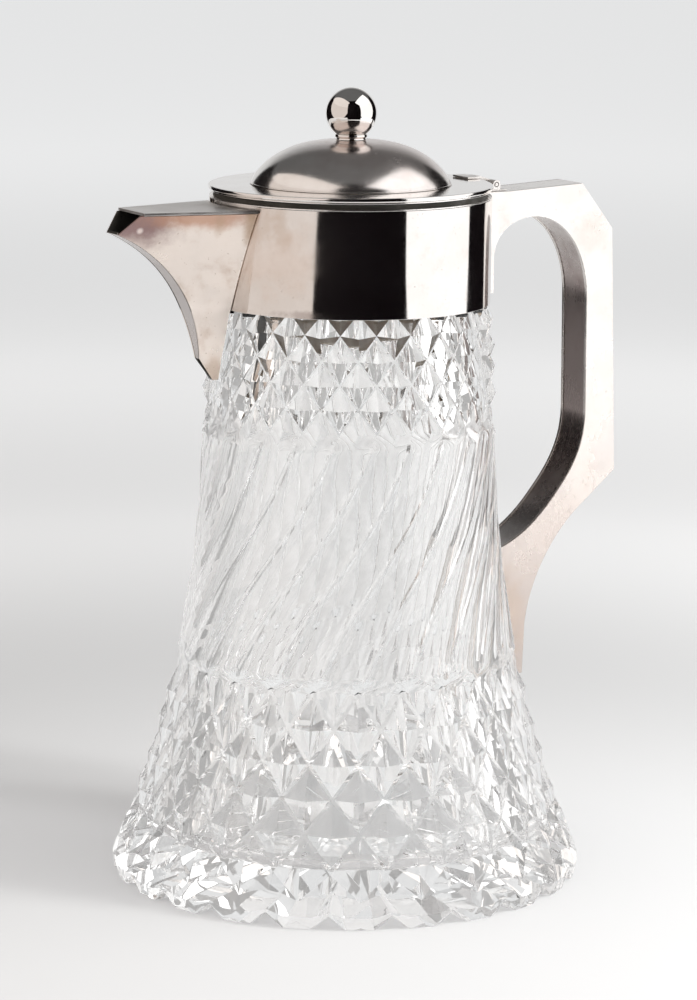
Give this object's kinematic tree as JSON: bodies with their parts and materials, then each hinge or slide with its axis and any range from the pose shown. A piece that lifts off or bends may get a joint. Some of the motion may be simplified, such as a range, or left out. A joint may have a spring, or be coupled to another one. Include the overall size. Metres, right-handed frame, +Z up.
{
  "type": "lidded decanter jug",
  "caption": "Tall decanter jug of cut crystal with a flared foot, a plated collar, an angular spout and handle, and a hinged domed lid with a ball knob.",
  "frame": {"origin": "centre of the flat pad under the foot, on the table", "axes": "+Z up along the axis of the jug, +X towards the handle, -X towards the spout, +Y to the right of the person who pours"},
  "size_m": [0.2071, 0.1746, 0.2903],
  "materials": {
    "crystal": "polished cut crystal",
    "silver_plate": "polished silver plate, slightly tarnished",
    "brass": "plain turned",
    "plaster": "set plaster"
  },
  "bodies": {
    "jug": {"glass_body": "crystal", "neck_cement": "plaster", "collar_band": "silver_plate", "collar_rim": "silver_plate", "spout_left_cheek": "silver_plate", "spout_right_cheek": "silver_plate", "spout_keel": "silver_plate", "spout_top_plate": "silver_plate", "handle_left_side": "silver_plate", "handle_right_side": "silver_plate", "handle_outer_strip": "silver_plate", "handle_inner_strip": "silver_plate", "hinge_seat": "silver_plate", "hinge_pin": "silver_plate"},
    "lid": {"hinge_lid_leaf": "silver_plate", "lid_bezel": "silver_plate", "lid_flange": "silver_plate", "lid_dome": "silver_plate", "knob_foot": "silver_plate", "knob_ball": "silver_plate", "knob_washer": "brass", "knob_nut": "brass", "knob_stud": "brass"}
  },
  "joints": [
    {"name": "lid_hinge", "type": "hinge", "parent": "jug", "child": "lid", "pos_m": [0.0578, 0, 0.25325], "axis": [0, 1, 0], "range_deg": [0, 105]}
  ]
}
